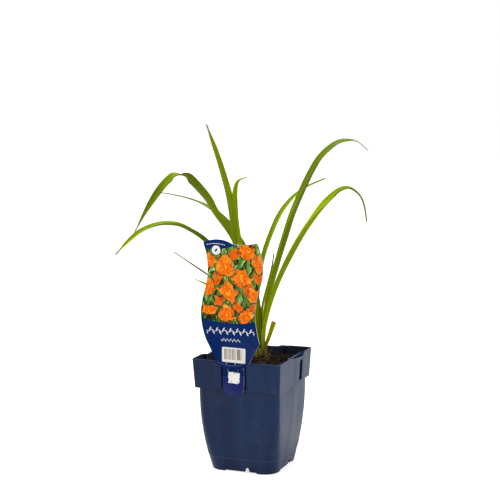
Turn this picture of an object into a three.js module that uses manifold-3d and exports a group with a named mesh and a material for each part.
// A young daylily in its square nursery pot, with a plant label clipped to the rim.
// Millimetres, +Z up. The origin is the middle of the pot's base, on the surface it stands on.
// The label hangs on the front face, which looks along -Y.

import * as THREE from 'three';
import { ConvexGeometry } from 'three/addons/geometries/ConvexGeometry.js';
import { mergeVertices } from 'three/addons/utils/BufferGeometryUtils.js';
import Module from 'manifold-3d';

// ---- driving dimensions: the pot ----
const POT_HEIGHT = 134.8;
const RIM_WIDTH = 110; // the collar at its top edge
const COLLAR_FOOT_WIDTH = 106; // the collar at its lower edge
const COLLAR_DEPTH = 34.6;
const COLLAR_CORNER = 2.6;
const BODY_WIDTH = 101.2; // under the collar
const BASE_WIDTH = 83;
const BODY_CORNER = 9; // corner radius under the collar
const BASE_CORNER = 18;
const STRAIGHT_FROM = 95; // height at which the curved taper ends
const WALL = 1.3;
const BASE_THICKNESS = 6;
const FOOT_STEP = 0.35; // a shallow step around the foot of the wall
const FOOT_STEP_HEIGHT = 16.6;
const CORNER_STEPS = 6;

// ---- the recess for a label in each face of the collar ----
const RECESS_HALF_WIDTH = 15.8;
const RECESS_FLOOR = 51; // distance of the set-back wall from the pot's axis
const RECESS_LEDGE = 1.8; // the strip of collar left below it
const RECESS_SHIFT = 2.2; // it sits a little off the middle of the face
const MOUTH_DEPTH = 5.8; // the flared mouth at the rim
const MOUTH_HALF_WIDTH = 25;
const LIP_DROP = 1.2; // the set-back wall ends this far below the rim

// ---- the drainage under the base ----
const FOOT_FROM = 20; // each corner foot begins this far from the middle of a face
const SKIRT_LIFT = 1.3; // the wall between the feet is this much shorter
const CHANNEL_REACH = 22; // channels run this far in from each face
const CHANNEL_HEIGHT = 4.4;
const SLOT_X = 8.5;
const SLOT_BOTTOM_WIDTH = 6.6;
const SLOT_TOP_WIDTH = 3.2;
const SLOT_HEIGHT = 6.4;
const DRAIN_RADIUS = 3.5;
const DRAIN_OFFSET = 27;

// ---- soil, crown and the gap that separate pieces keep ----
const GAP = 0.3;
const SOIL_EDGE = 125; // height of the soil at the walls
const SOIL_MOUND = 4.5; // how much higher it lies round the plant
const MOUND_REACH = 26;
const CRUMB_HEIGHT = 2.2;
const SOIL_GRID = 30;
const CROWN_CENTRE = [5.7, 8.6];
const CROWN_TOP = 137;
const CROWN_BOTTOM = 108;
const CROWN_LONG = 10.5; // half axes of the crown's oval section
const CROWN_SHORT = 8;
const CROWN_TURN = 112; // heading of its long axis, in degrees
const CROWN_PROFILE = [[0, 0.7], [0.35, 0.82], [0.65, 0.96], [0.8, 1], [0.93, 0.98], [1, 0.92]];
const CROWN_POINTS = 26;
const SHEATH_RIB = 0.35;

// ---- leaves ----
const BLADE_THICKNESS = 0.7;
const TIP_WIDTH = 1.1;
const TAPER = 5; // the higher, the nearer to the tip a blade keeps its width
const STATION_LENGTH = 12;
const LEAF_FOOT = CROWN_TOP + GAP;

// ---- label and sticker ----
const CARD_THICKNESS = 0.7;
const PANEL_Y = -56; // the card's middle plane in front of the collar
const TAB_Y = -53.7; // its middle plane inside the recess
const BEND_TOP = 131;
const BEND_BOTTOM = 124;
const TAB_CENTRE = -2.9;
const TAB_HALF_WIDTH = 13.3;
const TAB_END = 94.6;
const TONGUE_HALF_WIDTH = 5.6;
const TONGUE_END = 112;
const STICKER_WIDTH = 29;
const STICKER_HEIGHT = 17.4;
const STICKER_THICKNESS = 0.6;
const STICKER_CENTRE = [-1.1, 143.1]; // across and up the panel
const STICKER_TILT = 1; // stuck on a degree out of true

// Every long leaf: where it leaves the crown, the compass heading it arches along in degrees
// (0 is +X, 90 is +Y), its spine as [out, up] pairs above the crown, its greatest width, how far it
// is folded along the keel from foot to tip, and its twist as [share of its length, degrees].
// A leaf that turns over shows its underside before the turn and its upper face after it.
const LEAVES = {
  leaf_left_tall: {
    foot: [3.2, 5.1], heading: 212, width: 15.5,
    spine: [[0, 0], [19, 87], [32, 180], [41, 215], [58, 269]],
    fold: [76, 64, 52, 42, 34], twist: [[0, 0], [0.4, -6], [0.7, -34], [1, -60]],
  },
  leaf_left_upright: {
    foot: [2.2, 7.6], heading: 197, width: 12.5, taper: 8,
    spine: [[0, 0], [0, 11], [27, 155], [25, 197], [21, 203], [11, 206]],
    fold: [76, 66, 56, 50, 60], twist: [[0, 0], [0.5, 12], [1, -10]],
  },
  leaf_left_twisted: {
    foot: [1.3, 11], heading: 181, width: 16, taper: 7,
    spine: [
      [0, 0], [-2, 11], [6, 62], [12, 89], [20, 111], [33, 136], [54, 164], [62, 178], [86, 203],
      [92, 206], [104, 206], [115, 199], [135, 175], [161, 134],
    ],
    fold: [76, 60, 44, 28, 14, 5, 20, 34],
    twist: [[0, 0], [0.2, 12], [0.42, 48], [0.66, 60], [0.71, 4], [0.76, -54], [0.82, -62], [1, -50]],
  },
  leaf_left_low: {
    foot: [4, 2.1], heading: 214, width: 8.5, taper: 7,
    spine: [
      [0, 0], [10, 41], [24, 82], [33, 99], [42, 112], [51, 124], [67, 140], [89, 153], [98, 155],
      [115, 155], [135, 148], [150, 137], [166, 121],
    ],
    fold: [76, 60, 34, 16, 26], twist: [[0, 0], [0.5, 26], [0.7, 0], [0.9, -58], [1, -50]],
  },
  leaf_left_back: {
    foot: [0.7, 14.6], heading: 168, width: 9, tail: [0.22, 1.6],
    spine: [
      [0, 0], [-2, 16], [-2, 43], [9, 92], [20, 122], [36, 141], [44, 150], [62, 163], [88, 174],
      [140, 182], [157, 181],
    ],
    fold: [76, 64, 52, 30, 24], twist: [[0, 0], [0.4, 14], [1, 0]],
  },
  leaf_left_thin: {
    foot: [-0.9, 7.4], heading: 203, width: 3.6,
    spine: [[0, 0], [1, 13], [6, 28], [11, 43], [18, 55], [26, 65], [45, 83], [95, 119]],
    fold: [74, 64, 50, 40], twist: [[0, 0], [1, 0]],
  },
  leaf_left_short: {
    foot: [4.4, -0.4], heading: 222, width: 6,
    spine: [[0, 0], [10, 15], [25, 44], [42, 67], [60, 83], [75, 91]],
    fold: [74, 60, 50, 40], twist: [[0, 0], [1, -20]],
  },
  leaf_right_tall: {
    foot: [9.1, 9.3], heading: 27, width: 13.5, taper: 8, tail: [0.08, 1.1],
    spine: [
      [0, 0], [3, 42], [18, 107], [27, 137], [37, 166], [59, 213], [70, 230], [88, 245], [99, 248],
      [111, 247], [125, 236],
    ],
    fold: [76, 66, 54, 42, 30, 36], twist: [[0, 0], [0.4, 6], [0.55, 20], [0.7, 50], [0.88, 40], [1, 0]],
  },
  leaf_right_arching: {
    foot: [10.6, 6.1], heading: 8, width: 12.5, taper: 9, tail: [0.17, 3.2],
    spine: [
      [0, 0], [0, 18], [3, 37], [16, 79], [43, 133], [67, 168], [84, 186], [91, 192], [98, 195],
      [104, 195], [115, 187], [120, 175], [123, 156],
    ],
    fold: [76, 60, 42, 48, 46, 50], twist: [[0, 0], [0.5, -10], [0.75, -24], [0.84, 0], [1, 20]],
  },
  leaf_right_back: {
    foot: [7.9, 13.2], heading: 50, width: 7.5,
    spine: [[0, 0], [-6, 66], [-5, 84], [-1, 107], [13, 142], [27, 165], [51, 186], [86, 201]],
    fold: [76, 62, 46, 30, 20], twist: [[0, 0], [0.5, 16], [1, 0]],
  },
  leaf_right_thin: {
    foot: [7.3, 15.7], heading: 62, width: 3.6,
    spine: [[0, 0], [-2, 45], [-1, 53], [13, 94], [17, 114]],
    fold: [74, 64, 50, 40], twist: [[0, 0], [1, 0]],
  },
};

// One leaf was cut off short: an old yellow stub beside the others.
const STUB = {
  foot: [14.1, 6.4], heading: 12, width: 6, cut: true,
  spine: [[0, 0], [1, 13], [10, 35]],
  fold: [60, 46, 40], twist: [[0, 0], [1, 50]],
};

// ---- solids ----
const wasm = await Module();
wasm.setup();

function solid(geometry) {
  const plain = geometry.clone();
  for (const name of Object.keys(plain.attributes)) {
    if (name !== 'position') plain.deleteAttribute(name);
  }
  const merged = mergeVertices(plain, 1e-4);
  return new wasm.Manifold(new wasm.Mesh({
    numProp: 3,
    vertProperties: new Float32Array(merged.attributes.position.array),
    triVerts: new Uint32Array(merged.index.array),
  }));
}

function geometryOf(manifold) {
  const mesh = manifold.getMesh();
  const geometry = new THREE.BufferGeometry();
  geometry.setAttribute('position', new THREE.BufferAttribute(Float32Array.from(mesh.vertProperties), 3));
  geometry.setIndex(Array.from(mesh.triVerts));
  geometry.computeVertexNormals();
  return geometry;
}

function box(xLow, xHigh, yLow, yHigh, zLow, zHigh) {
  const geometry = new THREE.BoxGeometry(xHigh - xLow, yHigh - yLow, zHigh - zLow);
  geometry.translate((xLow + xHigh) / 2, (yLow + yHigh) / 2, (zLow + zHigh) / 2);
  return solid(geometry);
}

// A closed skin over rings that all have the same number of points, anticlockwise from above.
function loft(rings) {
  const size = rings[0].length;
  const corners = [];
  const faces = [];
  for (const ring of rings) {
    for (const point of ring) corners.push(point.x, point.y, point.z);
  }
  for (let level = 0; level < rings.length - 1; level += 1) {
    for (let side = 0; side < size; side += 1) {
      const a = level * size + side;
      const b = level * size + (side + 1) % size;
      faces.push(a, b, b + size, a, b + size, a + size);
    }
  }
  const top = (rings.length - 1) * size;
  for (let side = 1; side < size - 1; side += 1) {
    faces.push(0, side + 1, side);
    faces.push(top, top + side, top + side + 1);
  }
  const geometry = new THREE.BufferGeometry();
  geometry.setAttribute('position', new THREE.Float32BufferAttribute(corners, 3));
  geometry.setIndex(faces);
  geometry.computeVertexNormals();
  return geometry;
}

// ---- pot ----
function squareRing(half, corner, z) {
  const points = [];
  for (let quarter = 0; quarter < 4; quarter += 1) {
    const turn = quarter * Math.PI / 2;
    for (let step = 0; step <= CORNER_STEPS; step += 1) {
      const angle = step / CORNER_STEPS * Math.PI / 2;
      const point = new THREE.Vector3(half - corner, half - corner, z);
      point.x += corner * Math.cos(angle);
      point.y += corner * Math.sin(angle);
      points.push(point.applyAxisAngle(new THREE.Vector3(0, 0, 1), turn));
    }
  }
  return points;
}

// How far the curved taper has drawn the wall in at this height: 1 at the base, 0 under the collar.
function taperAt(z) {
  return Math.max(0, 1 - z / STRAIGHT_FROM) ** 2;
}

function bodyHalf(z) {
  const step = z < FOOT_STEP_HEIGHT ? FOOT_STEP : 0;
  return BODY_WIDTH / 2 - step - (BODY_WIDTH - BASE_WIDTH - 2 * FOOT_STEP) / 2 * taperAt(z);
}

function bodyCorner(z) {
  return BODY_CORNER + (BASE_CORNER - BODY_CORNER) * taperAt(z);
}

// The pot's outer form, drawn in by an inset all round: 0 for its outside, the wall's
// thickness for its inside, and a little more for what fills it.
function potForm(inset, floorAt, topAt) {
  const collarFoot = POT_HEIGHT - COLLAR_DEPTH;
  const belowStep = [0, 3, 8, 13, FOOT_STEP_HEIGHT - 0.3];
  const aboveStep = [FOOT_STEP_HEIGHT + 0.3, 24, 33, 44, 57, 72, 88, collarFoot + 2];
  const levels = [floorAt, ...[...belowStep, ...aboveStep].filter((z) => z > floorAt + 0.5)];
  const body = loft(levels.map((z) => squareRing(bodyHalf(z) - inset, bodyCorner(z) - inset, z)));
  const corner = Math.max(0.8, COLLAR_CORNER - inset);
  const collar = loft([
    squareRing(COLLAR_FOOT_WIDTH / 2 - inset, corner, collarFoot + inset),
    squareRing(RIM_WIDTH / 2 - inset, corner, topAt),
  ]);
  return solid(body).add(solid(collar)).subtract(recesses(inset, topAt));
}

// What the recesses take out of the collar: a slot in each face with a flared mouth at the rim.
function recesses(inset, topAt) {
  const foot = POT_HEIGHT - COLLAR_DEPTH + RECESS_LEDGE;
  const half = RECESS_HALF_WIDTH + inset;
  const wide = MOUTH_HALF_WIDTH + inset;
  const floorY = -(RECESS_FLOOR - inset);
  const faceY = -RIM_WIDTH / 2;
  const mouthFoot = POT_HEIGHT - MOUTH_DEPTH;
  const above = Math.max(topAt, POT_HEIGHT) + 1;
  const mouth = [];
  for (const side of [-1, 1]) {
    mouth.push(new THREE.Vector3(side * half, floorY, mouthFoot));
    mouth.push(new THREE.Vector3(side * half, floorY, above));
    mouth.push(new THREE.Vector3(side * half, faceY, mouthFoot));
    mouth.push(new THREE.Vector3(side * wide, faceY, POT_HEIGHT));
    mouth.push(new THREE.Vector3(side * wide, faceY, above));
    mouth.push(new THREE.Vector3(side * wide, faceY - 3, above));
    mouth.push(new THREE.Vector3(side * half, faceY - 3, mouthFoot));
  }
  const slot = box(-half, half, faceY - 3, floorY, foot - inset, above).add(solid(new ConvexGeometry(mouth)));
  return onEachFace((shift) => slot.translate(shift, 0, 0));
}

// Repeats a cutter made for the front face on all four faces of the pot.
function onEachFace(cutterFor) {
  const cutters = [0, 1, 2, 3].map((face) => {
    const shift = face % 2 === 0 ? -RECESS_SHIFT : RECESS_SHIFT;
    return cutterFor(shift).rotate(0, 0, face * 90);
  });
  return wasm.Manifold.union(cutters);
}

function makePot() {
  const outside = potForm(0, 0, POT_HEIGHT);
  const inside = potForm(WALL, BASE_THICKNESS, POT_HEIGHT + 4);
  const floorHalf = BASE_WIDTH / 2;
  const lip = onEachFace((shift) => box(
    shift - RECESS_HALF_WIDTH, shift + RECESS_HALF_WIDTH,
    -RECESS_FLOOR - 0.2, -RECESS_FLOOR + WALL + 0.2,
    POT_HEIGHT - LIP_DROP, POT_HEIGHT + 2,
  ));
  const skirt = onEachFace(() => box(-FOOT_FROM, FOOT_FROM, -floorHalf - 4, -floorHalf + 4, -1, SKIRT_LIFT));
  const channel = onEachFace(() => box(
    -FOOT_FROM + 3, FOOT_FROM - 3, -floorHalf + WALL + 0.6, -floorHalf + CHANNEL_REACH, -1, CHANNEL_HEIGHT,
  ));
  const slot = onEachFace(() => solid(slotGeometry()));
  const drains = onEachFace(() => {
    const hole = new THREE.CylinderGeometry(DRAIN_RADIUS, DRAIN_RADIUS, 3 * BASE_THICKNESS, 16);
    hole.rotateX(Math.PI / 2);
    hole.translate(-SLOT_X, -DRAIN_OFFSET, 0);
    return solid(hole);
  });
  return geometryOf(outside.subtract(wasm.Manifold.union([inside, lip, skirt, channel, slot, drains])));
}

// A drain slot, wider at the bottom, through the foot of the wall and into the base behind it.
function slotGeometry() {
  const outline = new THREE.Shape();
  outline.moveTo(SLOT_X - SLOT_BOTTOM_WIDTH / 2, -1);
  outline.lineTo(SLOT_X + SLOT_BOTTOM_WIDTH / 2, -1);
  outline.lineTo(SLOT_X + SLOT_TOP_WIDTH / 2, SLOT_HEIGHT);
  outline.lineTo(SLOT_X - SLOT_TOP_WIDTH / 2, SLOT_HEIGHT);
  outline.closePath();
  const geometry = new THREE.ExtrudeGeometry(outline, { depth: 14, bevelEnabled: false });
  geometry.rotateX(Math.PI / 2);
  geometry.translate(0, -BASE_WIDTH / 2 + 10, 0);
  return geometry;
}

// ---- soil ----
// Crumbly peat, a little mounded round the plant: a broad swell with a crumb's height added at
// every point, the same each time for the same place.
function soilHeight(x, y) {
  const toCrown = Math.hypot(x - CROWN_CENTRE[0], y - CROWN_CENTRE[1]);
  const mound = SOIL_MOUND * Math.exp(-((toCrown / MOUND_REACH) ** 2));
  const swell = Math.sin(x / 11.3 + 1.1) * Math.cos(y / 9.1 - 0.4);
  const scattered = Math.sin(x * 12.9898 + y * 78.233) * 43758.5453;
  const crumb = CRUMB_HEIGHT * (scattered - Math.floor(scattered) - 0.5);
  return SOIL_EDGE + mound + swell + crumb;
}

function terrain(half, depth) {
  const geometry = new THREE.BoxGeometry(2 * half, 2 * half, depth, SOIL_GRID, SOIL_GRID, 1);
  const position = geometry.attributes.position;
  for (let i = 0; i < position.count; i += 1) {
    const above = position.getZ(i) > 0;
    position.setZ(i, above ? soilHeight(position.getX(i), position.getY(i)) : SOIL_EDGE - 5);
  }
  return solid(geometry);
}

function makeSoil() {
  const inset = WALL + GAP;
  const below = potForm(inset, BASE_THICKNESS + GAP, POT_HEIGHT).intersect(
    box(-60, 60, -60, 60, 0, SOIL_EDGE - 4),
  );
  const top = potForm(inset, BASE_THICKNESS + GAP, POT_HEIGHT).intersect(terrain(58, 20));
  const crownHole = solid(crownGeometry(GAP, CROWN_BOTTOM - GAP, CROWN_TOP + 3));
  const tongueHole = box(
    TAB_CENTRE - TONGUE_HALF_WIDTH - GAP, TAB_CENTRE + TONGUE_HALF_WIDTH + GAP,
    -60, -RECESS_FLOOR + WALL + 3 * GAP + CARD_THICKNESS, TONGUE_END - GAP, POT_HEIGHT,
  );
  return geometryOf(below.add(top).subtract(crownHole).subtract(tongueHole));
}

// ---- crown ----
// The short fleshy foot that all the leaves sheathe: an oval, ribbed by the sheaths wrapped round
// it, narrower where it goes down into the soil and drawn in again at its top.
function crownGeometry(grow, bottom, top) {
  const turn = THREE.MathUtils.degToRad(CROWN_TURN);
  const rings = CROWN_PROFILE.map(([share, swell]) => {
    const ring = [];
    for (let step = 0; step < CROWN_POINTS; step += 1) {
      const angle = step / CROWN_POINTS * 2 * Math.PI;
      const rib = step % 2 === 0 ? SHEATH_RIB : -SHEATH_RIB;
      const point = new THREE.Vector3(
        (CROWN_LONG * swell + grow + rib) * Math.cos(angle),
        (CROWN_SHORT * swell + grow + rib) * Math.sin(angle),
        THREE.MathUtils.lerp(bottom, top, share),
      );
      point.applyAxisAngle(new THREE.Vector3(0, 0, 1), turn);
      point.x += CROWN_CENTRE[0];
      point.y += CROWN_CENTRE[1];
      ring.push(point);
    }
    return ring;
  });
  return loft(rings);
}

// ---- leaves ----
function alongList(values, share) {
  const place = share * (values.length - 1);
  const index = Math.min(Math.floor(place), values.length - 2);
  const between = THREE.MathUtils.smoothstep(place - index, 0, 1);
  return THREE.MathUtils.lerp(values[index], values[index + 1], between);
}

// The same for keys that each name their own place along the leaf.
function alongKeys(keys, share) {
  const next = Math.max(1, keys.findIndex(([place]) => place >= share));
  const [from, low] = keys[next - 1];
  const [to, high] = keys[next];
  return THREE.MathUtils.lerp(low, high, THREE.MathUtils.smoothstep(share, from, to));
}

// A strap leaf's width: narrow where it is sheathed, full by the middle of its length, kept nearly
// to the end and then drawn to a point. Some run on into a thin tail, given as its share of the
// leaf's length and its width.
function bladeWidth(leaf, share) {
  if (leaf.cut) return leaf.width * (0.7 + 0.3 * share);
  const [tailShare, tailWidth] = leaf.tail ?? [0.02, TIP_WIDTH];
  const end = 1 - tailShare;
  const swell = 0.5 + 0.5 * THREE.MathUtils.smoothstep(share, 0, 0.5);
  const point = share < end ? (1 - (share / end) ** (leaf.taper ?? TAPER)) ** 0.85 : 0;
  const tail = THREE.MathUtils.lerp(tailWidth, TIP_WIDTH, Math.max(0, share - end) / tailShare);
  return Math.max(tail, leaf.width * swell * point);
}

// The blade is a strip folded along its keel. Each station has three points on the lower face and
// three on the upper one, and both faces are split along the same diagonals.
function bladeGeometry(leaf) {
  const heading = THREE.MathUtils.degToRad(leaf.heading);
  const away = new THREE.Vector3(Math.cos(heading), Math.sin(heading), 0);
  const across = new THREE.Vector3(-Math.sin(heading), Math.cos(heading), 0);
  const spine = new THREE.CatmullRomCurve3(leaf.spine.map(([out, up]) => new THREE.Vector3(
    leaf.foot[0] + away.x * out,
    leaf.foot[1] + away.y * out,
    LEAF_FOOT + up,
  )), false, 'centripetal');
  const stations = Math.max(5, Math.round(spine.getLength() / STATION_LENGTH));
  const rings = [];
  for (let station = 0; station <= stations; station += 1) {
    const share = station / stations;
    const centre = spine.getPointAt(share);
    const tangent = spine.getTangentAt(share);
    const twist = THREE.MathUtils.degToRad(alongKeys(leaf.twist, share));
    const side = across.clone().addScaledVector(tangent, -tangent.dot(across)).normalize();
    side.applyAxisAngle(tangent, twist);
    const upper = tangent.clone().cross(side);
    const fold = THREE.MathUtils.degToRad(alongList(leaf.fold, share));
    const half = bladeWidth(leaf, share) / 2;
    const reach = half * Math.cos(fold);
    const rise = half * Math.sin(fold);
    const thick = BLADE_THICKNESS / Math.cos(fold);
    const keel = -(rise + thick) / 2;
    const at = (sideways, upwards) => (
      centre.clone().addScaledVector(side, sideways).addScaledVector(upper, upwards)
    );
    rings.push([
      at(reach, keel + rise), at(0, keel), at(-reach, keel + rise),
      at(-reach, keel + rise + thick), at(0, keel + thick), at(reach, keel + rise + thick),
    ]);
  }
  levelFoot(rings[0], spine.getPointAt(0).z, spine.getTangentAt(0));
  return bladeSkin(rings);
}

// Slides the first section's corners along the leaf until its foot is level.
function levelFoot(ring, height, tangent) {
  for (const point of ring) point.addScaledVector(tangent, (height - point.z) / tangent.z);
}

function bladeSkin(rings) {
  const corners = rings.flat().flatMap((point) => [point.x, point.y, point.z]);
  const faces = [];
  const quad = (a, b, c, d) => faces.push(a, b, c, a, c, d);
  for (let station = 0; station < rings.length - 1; station += 1) {
    const here = station * 6;
    const next = here + 6;
    // lower face, upper face (the same diagonals), then the two edges
    quad(here + 1, here, next, next + 1);
    quad(next + 2, here + 2, here + 1, next + 1);
    quad(next + 5, here + 5, here + 4, next + 4);
    quad(here + 4, here + 3, next + 3, next + 4);
    quad(here + 2, next + 2, next + 3, here + 3);
    quad(here, here + 5, next + 5, next);
  }
  const last = (rings.length - 1) * 6;
  quad(4, 5, 0, 1);
  quad(3, 4, 1, 2);
  quad(last + 1, last, last + 5, last + 4);
  quad(last + 2, last + 1, last + 4, last + 3);
  const geometry = new THREE.BufferGeometry();
  geometry.setAttribute('position', new THREE.Float32BufferAttribute(corners, 3));
  geometry.setIndex(faces);
  geometry.computeVertexNormals();
  return geometry;
}

// ---- label ----
// The card's outline, seen from the front: x across and z up. The panel has wavy sides, a crown to
// the left of its top edge, and tapers to the neck; the tab below it ends in a half round.
function cardOutline() {
  const outline = new THREE.Shape();
  const left = TAB_CENTRE - TAB_HALF_WIDTH;
  const right = TAB_CENTRE + TAB_HALF_WIDTH;
  outline.moveTo(-37.7, 272.4);
  outline.quadraticCurveTo(-18, 281, -1, 271.6);
  outline.quadraticCurveTo(13, 269.6, 29, 274);
  outline.bezierCurveTo(36, 256, 38.6, 240, 31.5, 221.5);
  outline.bezierCurveTo(25, 205, 22.6, 185, 31, 158);
  outline.lineTo(17, 132.8);
  outline.quadraticCurveTo(14.5, 129.4, right, 128.8);
  outline.lineTo(right, TAB_END + TAB_HALF_WIDTH * 0.8);
  outline.bezierCurveTo(right, TAB_END + 3, TAB_CENTRE + 7, TAB_END, TAB_CENTRE, TAB_END);
  outline.bezierCurveTo(TAB_CENTRE - 7, TAB_END, left, TAB_END + 3, left, TAB_END + TAB_HALF_WIDTH * 0.8);
  outline.lineTo(left, 128.4);
  outline.quadraticCurveTo(-18.5, 128.8, -21, 131.6);
  outline.lineTo(-35, 158);
  outline.bezierCurveTo(-46, 186, -40, 204, -34.5, 222);
  outline.bezierCurveTo(-30, 240, -31, 256, -37.7, 272.4);
  return outline;
}

// The card stands in front of the collar and steps back into the recess at its neck.
function cardPlane(z) {
  const share = THREE.MathUtils.clamp((z - BEND_BOTTOM) / (BEND_TOP - BEND_BOTTOM), 0, 1);
  return THREE.MathUtils.lerp(TAB_Y, PANEL_Y, share);
}

// A tongue cut out of the tab folds back over the lip of the recess and down behind its wall.
function tongueProfile() {
  const front = -TAB_Y + CARD_THICKNESS / 2 - 0.1;
  const lipTop = POT_HEIGHT - LIP_DROP + GAP;
  const behind = RECESS_FLOOR - WALL - GAP;
  const rootOfTongue = BEND_BOTTOM - 4;
  const profile = new THREE.Shape();
  profile.moveTo(front, rootOfTongue);
  profile.lineTo(front, lipTop + CARD_THICKNESS);
  profile.lineTo(behind - CARD_THICKNESS, lipTop + CARD_THICKNESS);
  profile.lineTo(behind - CARD_THICKNESS, TONGUE_END);
  profile.lineTo(behind, TONGUE_END);
  profile.lineTo(behind, lipTop);
  profile.lineTo(front - CARD_THICKNESS, lipTop);
  profile.lineTo(front - CARD_THICKNESS, rootOfTongue);
  profile.closePath();
  return profile;
}

function makeLabel() {
  const depth = 12;
  const slab = new THREE.ExtrudeGeometry(cardOutline(), { depth, bevelEnabled: false, curveSegments: 10 });
  slab.rotateX(Math.PI / 2);
  slab.translate(0, PANEL_Y + depth / 2, 0);
  const bend = new THREE.Shape();
  const heights = [TAB_END - 5, BEND_BOTTOM, BEND_TOP, 285];
  const half = CARD_THICKNESS / 2;
  heights.forEach((z, i) => bend[i === 0 ? 'moveTo' : 'lineTo'](-cardPlane(z) + half, z));
  [...heights].reverse().forEach((z) => bend.lineTo(-cardPlane(z) - half, z));
  bend.closePath();
  const sheet = profileAcross(bend, -60, 60);
  const tongueLeft = TAB_CENTRE - TONGUE_HALF_WIDTH;
  const tongue = profileAcross(tongueProfile(), tongueLeft, tongueLeft + 2 * TONGUE_HALF_WIDTH);
  return geometryOf(solid(slab).intersect(sheet).add(tongue));
}

// A profile drawn with its first coordinate towards the front (-Y) and its second up, run along X.
function profileAcross(profile, xLow, xHigh) {
  const geometry = new THREE.ExtrudeGeometry(profile, { depth: xHigh - xLow, bevelEnabled: false });
  const toFront = new THREE.Matrix4().makeBasis(
    new THREE.Vector3(0, -1, 0), new THREE.Vector3(0, 0, 1), new THREE.Vector3(-1, 0, 0),
  );
  geometry.applyMatrix4(toFront);
  geometry.translate(xHigh, 0, 0);
  return solid(geometry);
}

function makeSticker() {
  const geometry = new THREE.BoxGeometry(STICKER_WIDTH, STICKER_THICKNESS, STICKER_HEIGHT);
  geometry.rotateY(THREE.MathUtils.degToRad(STICKER_TILT));
  const cardFront = PANEL_Y - CARD_THICKNESS / 2;
  geometry.translate(STICKER_CENTRE[0], cardFront - GAP - STICKER_THICKNESS / 2, STICKER_CENTRE[1]);
  return geometry;
}

// ---- materials and the assembly ----
const FINISHES = {
  pot: { color: 0x24365c, roughness: 0.5, metalness: 0 },
  soil: { color: 0x2b2119, roughness: 0.95, metalness: 0 },
  crown: { color: 0x8a8d3c, roughness: 0.7, metalness: 0 },
  leaf: { color: 0x7c9a1e, roughness: 0.45, metalness: 0 },
  stub: { color: 0x9c8a22, roughness: 0.6, metalness: 0 },
  label: { color: 0x1d2f6e, roughness: 0.35, metalness: 0 },
  sticker: { color: 0xe8e6dc, roughness: 0.6, metalness: 0 },
};

const plant = new THREE.Group();

function place(name, geometry, finish) {
  const mesh = new THREE.Mesh(geometry, new THREE.MeshStandardMaterial(FINISHES[finish]));
  mesh.name = name;
  plant.add(mesh);
}

place('pot', makePot(), 'pot');
place('soil', makeSoil(), 'soil');
place('crown', crownGeometry(0, CROWN_BOTTOM, CROWN_TOP), 'crown');
for (const [name, leaf] of Object.entries(LEAVES)) place(name, bladeGeometry(leaf), 'leaf');
place('leaf_cut_stub', bladeGeometry(STUB), 'stub');
place('label', makeLabel(), 'label');
place('label_sticker', makeSticker(), 'sticker');

export default plant;
